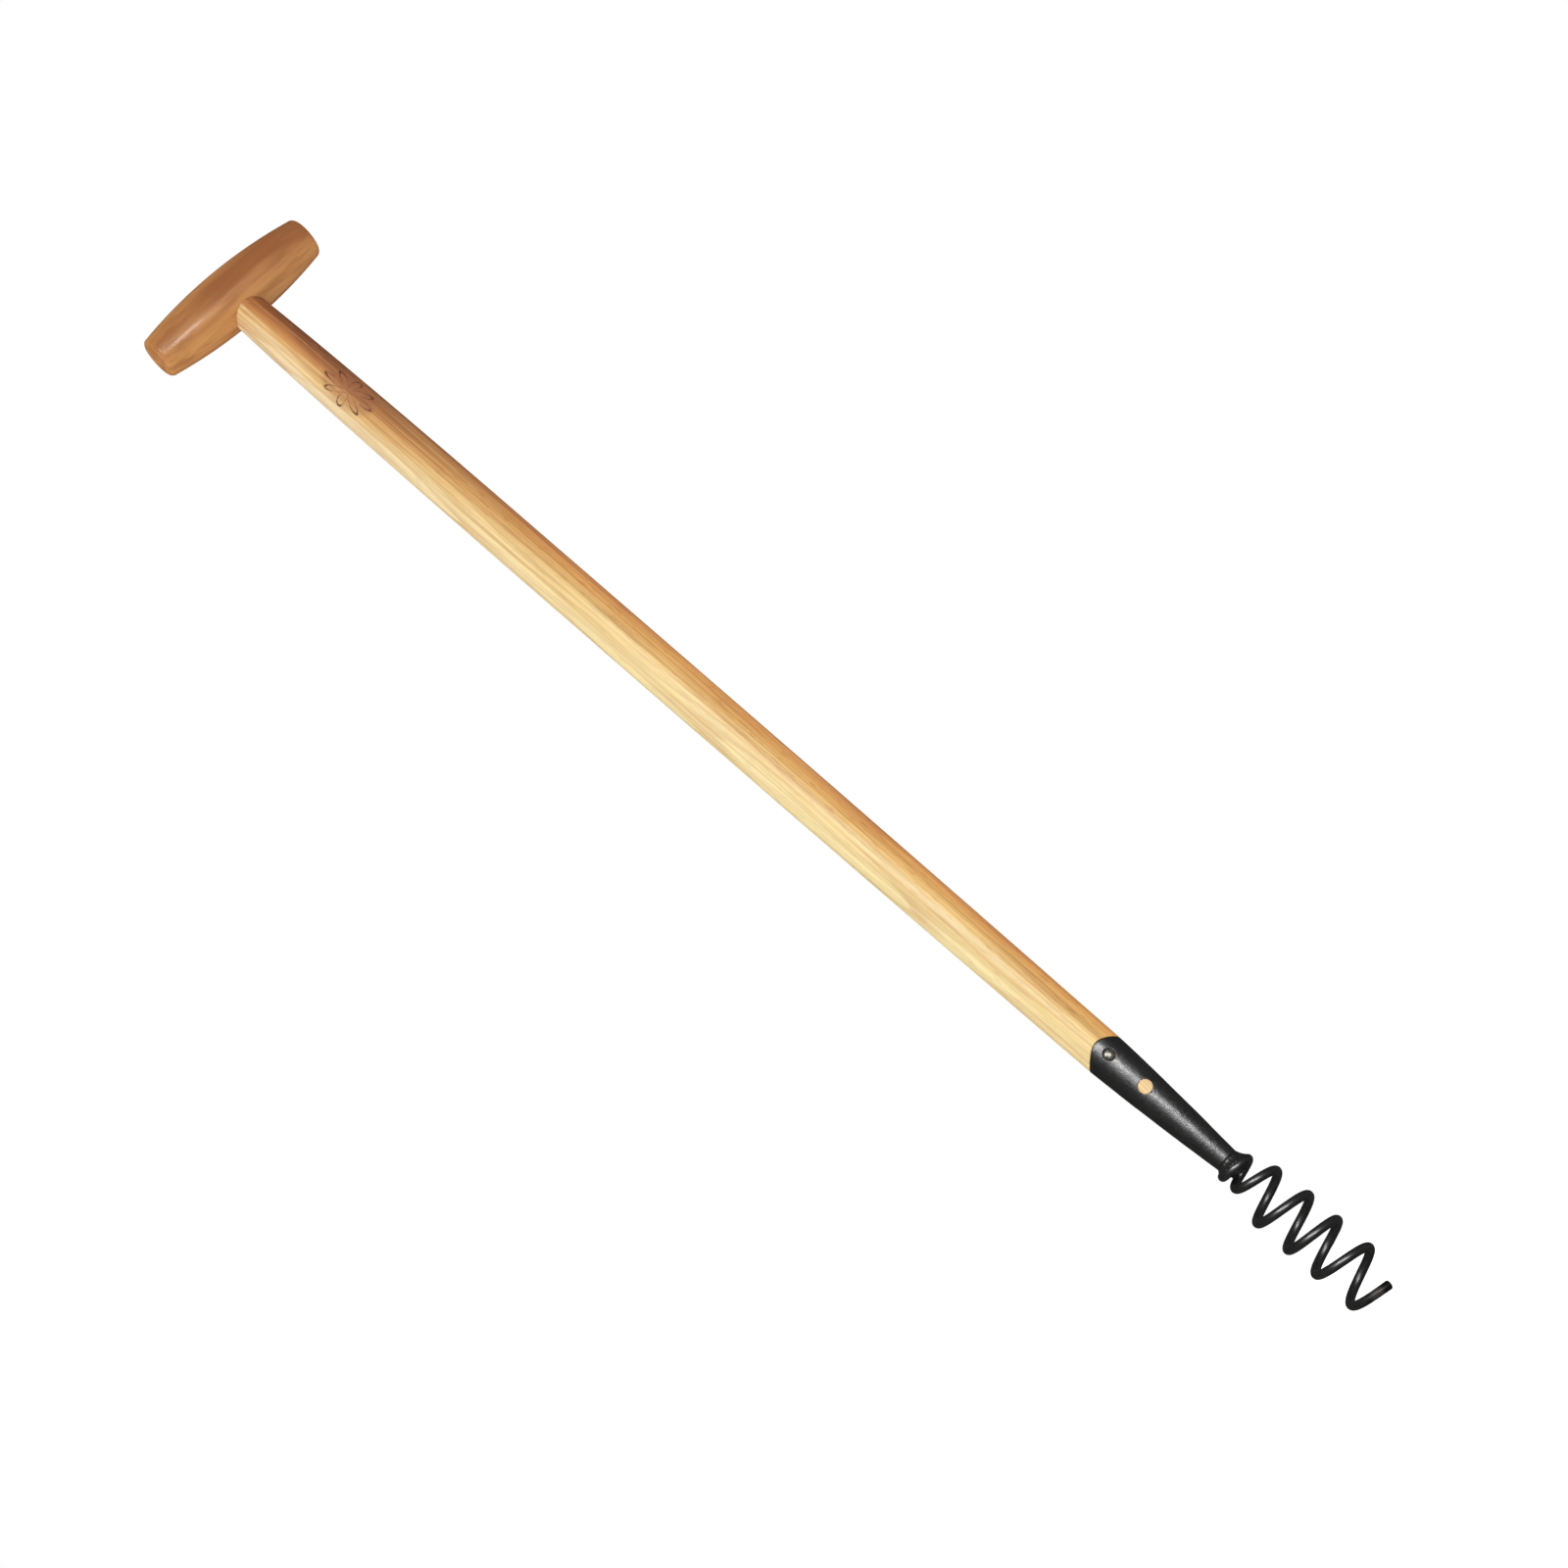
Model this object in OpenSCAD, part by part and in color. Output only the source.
// Hand auger with an open steel spiral: turned T-grip, swelled ash shaft, steel socket and a spiral of rod.
// +Z runs up the shaft towards the grip. Z = 0 is the lowest point of the spiral, at its cut tip.
// X is the grip's own axis. The rivet and the plug face -Y. All sizes are millimetres.

/* [Overall] */
// Height from the tip of the spiral to the top of the grip
total_length = 1000; // [900:5:1200]

/* [Grip] */
// Length of the grip across the shaft
grip_length = 134.5; // [110:0.5:180]
// Diameter at the middle of the barrel
grip_mid_d = 41; // [38:0.5:50]
// Diameter that the barrel curve reaches at each end, before the edge is rounded
grip_end_d = 28.5; // [24:0.5:34]
// Radius of the rounding around each end face
grip_edge_r = 4; // [1:0.5:6]
// How far the blind hole for the shaft runs past the grip's axis
grip_hole_past_axis = 8; // [4:0.5:11]

/* [Shaft] */
// Diameter at the fullest point
shaft_full_d = 31; // [28:0.5:34]
// Height of the fullest point above the tip
shaft_full_at = 750; // [500:10:780]
// Diameter where the shaft enters the grip
shaft_grip_d = 26.4; // [24:0.2:28]
// How sharply the shaft turns down from its fullest point towards both ends
shaft_swell_power = 2.5; // [1.5:0.1:4]

/* [Grip wedge] */
// Length of the wedge that spreads the shaft inside the grip
wedge_length = 20; // [12:1:24]
// Thickness of the wedge at its leading edge
wedge_thin = 1.2; // [0.8:0.1:2]
// Thickness of the wedge at its driven end
wedge_thick = 3.4; // [2.5:0.1:5]

/* [Socket] */
// Height of the neck, where the socket is narrowest
neck_at = 115; // [112:0.5:122]
// Length from the neck to the tips of the two tongues
socket_length = 99.5; // [85:0.5:120]
// Outside diameter at the mouth
socket_mouth_d = 27.2; // [26:0.1:29]
// Outside diameter at the neck
socket_neck_d = 15.2; // [14:0.1:18]
// How much of the taper lies near the neck: 1 is a plain cone
socket_taper_power = 1.38; // [1:0.02:2]
// How far the sides of the mouth lie below the tongues
tongue_drop = 6.9; // [3:0.1:11]
// Depth of the cavity that holds the shaft, below the tips of the tongues
cavity_depth = 64; // [50:1:70]
// Wall thickness at the tips of the tongues
socket_wall = 1.7; // [1.4:0.1:2]
// Wall thickness round the floor of the cavity
cavity_floor_wall = 2; // [1.6:0.1:3]
// Turn of the socket on the shaft, seen from above: 0 puts the rivet and the plug squarely on -Y
socket_turn = -9; // [-15:0.5:15]
// Diameter of the solid nose that the first turn is wound on
nose_d = 11.4; // [9:0.1:11.8]
// Length of the nose below the neck
nose_length = 10.5; // [8:0.5:16]

/* [Fastenings] */
// Diameter of the rivet's shank
rivet_shank_d = 5; // [4:0.5:6]
// Diameter of the rivet's domed head
rivet_head_d = 7.4; // [7:0.1:10]
// Height of the upright rim under the dome and under the hammered tail
rivet_rim = 0.6; // [0.3:0.1:1]
// Height of the dome above its rim
rivet_dome_h = 1.7; // [1:0.1:3]
// Height of the hammered tail above its rim
rivet_tail_h = 0.8; // [0.5:0.1:2]
// Width of the gap left round each head, in the flat seat cut for it
rivet_seat_gap = 0.3; // [0:0.1:0.6]
// Distance of the rivet below the tips of the tongues
rivet_drop = 10.3; // [8:0.1:14]
// Diameter of the wooden plug
plug_d = 8.6; // [6:0.1:9]
// Distance of the plug below the tips of the tongues
plug_drop = 38; // [28:0.5:44]
// Depth of the plug below the outside of the socket
plug_depth = 8; // [4:0.5:9]
// How far the plug stands proud of the socket
plug_proud = 0.3; // [0:0.1:0.6]

/* [Spiral] */
// Direction of the winding, seen from above going down
winding = -1; // [-1:left-handed, 1:right-handed]
// Diameter of the rod
rod_d = 5.5; // [4.5:0.1:6]
// Outside diameter of the open turns
spiral_outer_d = 37.2; // [33:0.2:46]
// Number of turns, from the welded start of the rod to its cut tip
turns = 5.53; // [4.5:0.01:5.55]
// Rise of one open turn
open_pitch = 22.9; // [19:0.1:23]
// Rise of one close turn on the nose
close_pitch = 8; // [6.5:0.1:9]
// How far the lower turns are sprung upwards from an even pitch: 0 gives an even spiral
sprung_up = 2.8; // [0:0.1:4]
// How many turns the spring-up takes, counted from the tip
sprung_turns = 2.7; // [2:0.1:3.5]
// Direction in which the tip of the rod points out from the axis, in degrees from +X
tip_angle = -79; // [-180:1:180]

/* [Hidden] */

$fn = 96;
ROD_SIDES = 16;          // facets round the rod
STEPS_PER_TURN = 36;     // stations along each turn of the spiral, or nearly so where the turns aren't whole
PROFILE_STEPS = 24;      // stations along a turned profile
EDGE_STEPS = 6;          // steps round a small rounding
TANGENT_STEP = 0.002;    // how far apart, in turns, two points give the rod's direction
FIT_GAP = 0.1;           // clearance all round a piece that is driven into another
END_GAP = 0.5;           // clearance at the end of a blind hole
NOSE_GAP = 0.4;          // clearance between the nose and the turn of rod wound on it
WELD_GAP = 0.03;         // clearance between the weld and the rod, so that the two solids stay apart
CUT = 1;                 // how far a cutting solid runs past the solid it cuts

grip_axis = total_length - grip_mid_d / 2;
grip_sag = (grip_mid_d - grip_end_d) / 2;
grip_arc_r = (pow(grip_length / 2, 2) + pow(grip_sag, 2)) / (2 * grip_sag);
grip_hole_top = grip_axis + grip_hole_past_axis;
grip_underside = grip_axis - grip_mid_d / 2;
shaft_top = grip_hole_top - END_GAP;

tongue_at = neck_at + socket_length;
cavity_floor = tongue_at - cavity_depth;
cavity_top_r = socket_mouth_d / 2 - socket_wall;
cavity_floor_r = socket_r(cavity_floor) - cavity_floor_wall;
mouth_low = tongue_at - tongue_drop;
rivet_at = tongue_at - rivet_drop;
plug_at = tongue_at - plug_drop;
// Flat seats are cut just deep enough that the whole rim of the head rests on them.
rivet_seat = sqrt(pow(socket_r(rivet_at - rivet_head_d / 2), 2) - pow(rivet_head_d / 2, 2));

rod_r = rod_d / 2;
open_r = spiral_outer_d / 2 - rod_r;
close_r = nose_d / 2 + rod_r + NOSE_GAP;
// The close turn ends, and the pitch opens out, this many turns after the rod starts.
close_turns = 1.16;
pitch_blend = 0.15;
// The rod starts to swing out from the nose a little before the close turn ends.
swing_start = close_turns - 0.05;
swing_turns = 0.85;
tip_slope = atan(open_pitch / (2 * PI * open_r));
tip_z = rod_r * cos(tip_slope);

// How far the weld follows the rod, and between which angles of the rod's section it lies.
weld_turns = 0.95;
weld_inner = 150;
weld_outer = 50;
// The weld swells and thins out over these turns, and is this thick at its thin ends.
weld_swell = 0.15;
weld_fade = 0.3;
weld_spare = 0.05;
weld_thin = 0.3;
// How hollow the face of the weld is: the share of its width and height at which the curve bends.
weld_bend = [0.2, 0.6];

// Radius of the shaft's turned surface at height z: fullest part way up, smaller towards both ends.
function shaft_r(z) =
    let (end = z > shaft_full_at ? [grip_underside, shaft_grip_d] : [tongue_at, socket_mouth_d])
    let (u = min(1, abs((z - shaft_full_at) / (end[0] - shaft_full_at))))
    (shaft_full_d - (shaft_full_d - end[1]) * pow(u, shaft_swell_power)) / 2;

// Outside radius of the socket at height z, between its neck and its mouth.
function socket_r(z) =
    let (u = max(0, min(1, (neck_at + socket_length - z) / socket_length)))
    (socket_mouth_d - (socket_mouth_d - socket_neck_d) * pow(u, socket_taper_power)) / 2;

// Points from height a to height b along a turned profile, as [radius, height].
function profile(a, b, radius_at) =
    [for (i = [0 : PROFILE_STEPS]) let (z = a + (b - a) * i / PROFILE_STEPS) [radius_at(z), z]];

function arc(centre, r, a, b, n) =
    [for (i = [0 : n]) let (t = a + (b - a) * i / n) centre + r * [cos(t), sin(t)]];

// Depth of the rod's centre below its start after n turns: close at first, then open.
function fall(n) =
    let (past = n - close_turns)
    close_pitch * n + (open_pitch - close_pitch) * (past + sqrt(past * past + pitch_blend * pitch_blend)) / 2;

// Eases from 0 to 1 as u goes from 0 to 1.
function smooth(u) = let (t = max(0, min(1, u))) t * t * (3 - 2 * t);

// How far the rod is sprung up after n turns: one smooth wave that starts at the tip.
function sprung(n) = sprung_up * (1 - cos(360 * min(1, (turns - n) / sprung_turns))) / 2;

// Radius of the rod's centre line after n turns: tight on the nose, then swinging out over most of a turn.
function coil_r(n) = close_r + (open_r - close_r) * smooth((n - swing_start) / swing_turns);
function coil_z(n) = tip_z + fall(turns) - fall(n) + sprung(n);
function coil_angle(n) = tip_angle + winding * 360 * (turns - n);
function coil_point(n) = [coil_r(n) * cos(coil_angle(n)), coil_r(n) * sin(coil_angle(n)), coil_z(n)];

function unit(v) = v / norm(v);

// One ring of the rod's surface, square to its centre line.
function rod_ring(n) =
    let (along = unit(coil_point(n + TANGENT_STEP) - coil_point(n - TANGENT_STEP)))
    let (out = unit(cross([0, 0, 1], along)))
    let (up = cross(along, out))
    [for (i = [0 : ROD_SIDES - 1])
        let (t = 360 * i / ROD_SIDES) coil_point(n) + rod_r * (cos(t) * out - sin(t) * up)];

// One section of the weld, in the upright plane through the axis at the rod's own angle. Its points are taken
// in the other order on a right-handed spiral, so that the faces of the solid still point outwards.
function weld_ring(n) =
    let (full = smooth((n + weld_spare) / weld_swell) * smooth((weld_turns + weld_spare - n) / weld_fade))
    let (rod = [coil_r(n), coil_z(n)])
    let (reach = weld_inner + (weld_outer - weld_inner) * full)
    let (on_rod = arc(rod, rod_r + WELD_GAP, weld_inner, reach, EDGE_STEPS))
    let (low = on_rod[EDGE_STEPS])
    let (high = [nose_d / 2 + weld_thin + ((socket_neck_d - nose_d) / 2 - weld_thin) * full, neck_at])
    let (bend = high + [(low[0] - high[0]) * weld_bend[0], (low[1] - high[1]) * weld_bend[1]])
    let (face = [for (i = [1 : EDGE_STEPS])
        let (t = i / EDGE_STEPS) (1 - t) * (1 - t) * low + 2 * t * (1 - t) * bend + t * t * high])
    let (outline = concat([[nose_d / 2, neck_at], [nose_d / 2, on_rod[0][1]]], on_rod, face))
    let (last = len(outline) - 1)
    [for (i = winding < 0 ? [0 : last] : [last : -1 : 0])
        let (p = outline[i]) [p[0] * cos(coil_angle(n)), p[0] * sin(coil_angle(n)), p[1]]];

// A closed solid through a row of rings that all have the same number of points.
// Each ring runs anticlockwise, seen along the row.
module loft(rings) {
    count = len(rings[0]);
    last = len(rings) - 1;
    walls = [for (k = [0 : last - 1], i = [0 : count - 1])
        let (j = (i + 1) % count)
        [k * count + i, k * count + j, (k + 1) * count + j, (k + 1) * count + i]];
    first_cap = [for (i = [count - 1 : -1 : 0]) i];
    last_cap = [for (i = [0 : count - 1]) last * count + i];
    polyhedron([for (ring = rings) each ring], concat([first_cap], walls, [last_cap]), convexity = 10);
}

// Turns +Z to face the front, -Y.
module facing_front() {
    rotate([90, 0, 0]) children();
}

// Turns a feature of the socket to where the socket sits on the shaft.
module with_socket() {
    rotate([0, 0, socket_turn]) children();
}

// Everything below the mouth of the socket, which is cut round: high at the two tongues, low at the sides.
module below_mouth() {
    cut_r = (pow(socket_mouth_d / 2, 2) + pow(tongue_drop, 2)) / (2 * tongue_drop);
    side = 2 * socket_mouth_d;
    translate([0, 0, mouth_low + cut_r])
        difference() {
            translate([0, 0, -tongue_at]) cube([side, side, 2 * tongue_at], center = true);
            rotate([0, 90, 0]) cylinder(h = side + CUT, r = cut_r, center = true);
        }
}

module socket_outside(proud = 0) {
    outline = profile(neck_at, tongue_at, function(z) socket_r(z) + proud);
    rotate_extrude() polygon(concat([[0, neck_at]], outline, [[0, tongue_at]]));
}

// The taper shared by the cavity and the end of the shaft.
module cavity(gap = 0) {
    translate([0, 0, cavity_floor + gap])
        cylinder(h = cavity_depth + CUT, r1 = cavity_floor_r - gap, r2 = cavity_top_r - gap);
}

// The blind hole for the plug, open at the front.
module plug_hole() {
    translate([0, plug_depth - socket_r(plug_at), plug_at])
        facing_front() cylinder(h = socket_mouth_d, d = plug_d);
}

// The hole for the rivet, right through from front to back.
module rivet_hole() {
    translate([0, 0, rivet_at])
        facing_front() cylinder(h = 2 * socket_mouth_d, d = rivet_shank_d, center = true);
}

// Puts a feature on the flat seat of the rivet, at the front (side = 0) or at the back (side = 180).
module on_seat(side) {
    translate([0, 0, rivet_at])
        rotate([0, 0, side])
            facing_front() translate([0, 0, rivet_seat]) children();
}

// A head with an upright rim and a shallow dome of height h above it, standing on Z = 0.
module rivet_head(h) {
    r = (pow(rivet_head_d / 2, 2) + h * h) / (2 * h);
    edge = asin((r - h) / r);
    dome = arc([0, rivet_rim + h - r], r, edge, 90, EDGE_STEPS);
    rotate_extrude() polygon(concat([[0, 0], [rivet_head_d / 2, 0]], dome));
}

// The wedge's own shape, which is also the shape of the slot that it fills.
module wedge_block() {
    facing_front()
        linear_extrude(2 * shaft_grip_d, center = true)
            polygon([
                [-wedge_thin / 2, shaft_top - wedge_length], [wedge_thin / 2, shaft_top - wedge_length],
                [wedge_thick / 2, shaft_top], [-wedge_thick / 2, shaft_top]
            ]);
}

module grip() {
    barrel_end = grip_length / 2;
    shoulder = barrel_end - grip_edge_r;
    edge_centre = grip_end_d / 2 - grip_edge_r;
    spread = asin(shoulder / grip_arc_r);
    barrel = arc([grip_mid_d / 2 - grip_arc_r, 0], grip_arc_r, -spread, spread, PROFILE_STEPS);
    top_edge = arc([edge_centre, shoulder], grip_edge_r, 0, 90, EDGE_STEPS);
    bottom_edge = arc([edge_centre, -shoulder], grip_edge_r, -90, 0, EDGE_STEPS);
    color("peru")
        difference() {
            translate([0, 0, grip_axis])
                rotate([0, 90, 0])
                    rotate_extrude()
                        polygon(concat([[0, -barrel_end]], bottom_edge, barrel, top_edge, [[0, barrel_end]]));
            translate([0, 0, grip_underside - CUT])
                cylinder(h = grip_hole_top - grip_underside + CUT, d = shaft_grip_d + 2 * FIT_GAP);
        }
}

module shaft() {
    outline = profile(mouth_low - CUT, grip_underside, function(z) shaft_r(z));
    tenon = [[shaft_grip_d / 2, shaft_top], [0, shaft_top]];
    color("burlywood")
        difference() {
            union() {
                difference() {
                    rotate_extrude()
                        polygon(concat([[0, outline[0][1]]], outline, tenon));
                    with_socket() below_mouth();
                }
                cavity(gap = FIT_GAP);
            }
            wedge_block();
            with_socket() {
                rivet_hole();
                plug_hole();
            }
        }
}

module grip_wedge() {
    color("saddlebrown")
        intersection() {
            wedge_block();
            translate([0, 0, shaft_top - 2 * wedge_length]) cylinder(h = 3 * wedge_length, d = shaft_grip_d);
        }
}

module socket() {
    color("darkslategray")
        with_socket()
            difference() {
                union() {
                    intersection() {
                        socket_outside();
                        below_mouth();
                    }
                    translate([0, 0, neck_at - nose_length]) cylinder(h = nose_length + CUT, d = nose_d);
                }
                cavity();
                rivet_hole();
                for (side = [0, 180])
                    on_seat(side) cylinder(h = socket_mouth_d, d = rivet_head_d + 2 * rivet_seat_gap);
                plug_hole();
            }
}

module socket_rivet() {
    color("slategray")
        with_socket() {
            translate([0, 0, rivet_at])
                facing_front() cylinder(h = 2 * rivet_seat, d = rivet_shank_d, center = true);
            on_seat(0) rivet_head(rivet_dome_h);
            on_seat(180) rivet_head(rivet_tail_h);
        }
}

module socket_plug() {
    color("navajowhite")
        with_socket()
            intersection() {
                socket_outside(plug_proud);
                plug_hole();
            }
}

module spiral() {
    stations = round(turns * STEPS_PER_TURN);
    color("dimgray")
        loft([for (k = [0 : stations]) rod_ring(turns * k / stations)]);
}

// Fillet of weld metal in the corner between the neck and the close turn of rod, thinning out at both ends.
module neck_weld() {
    color("dimgray")
        loft([for (k = [0 : floor(weld_turns * STEPS_PER_TURN)]) weld_ring(k / STEPS_PER_TURN)]);
}

grip();
shaft();
grip_wedge();
socket();
socket_rivet();
socket_plug();
neck_weld();
spiral();
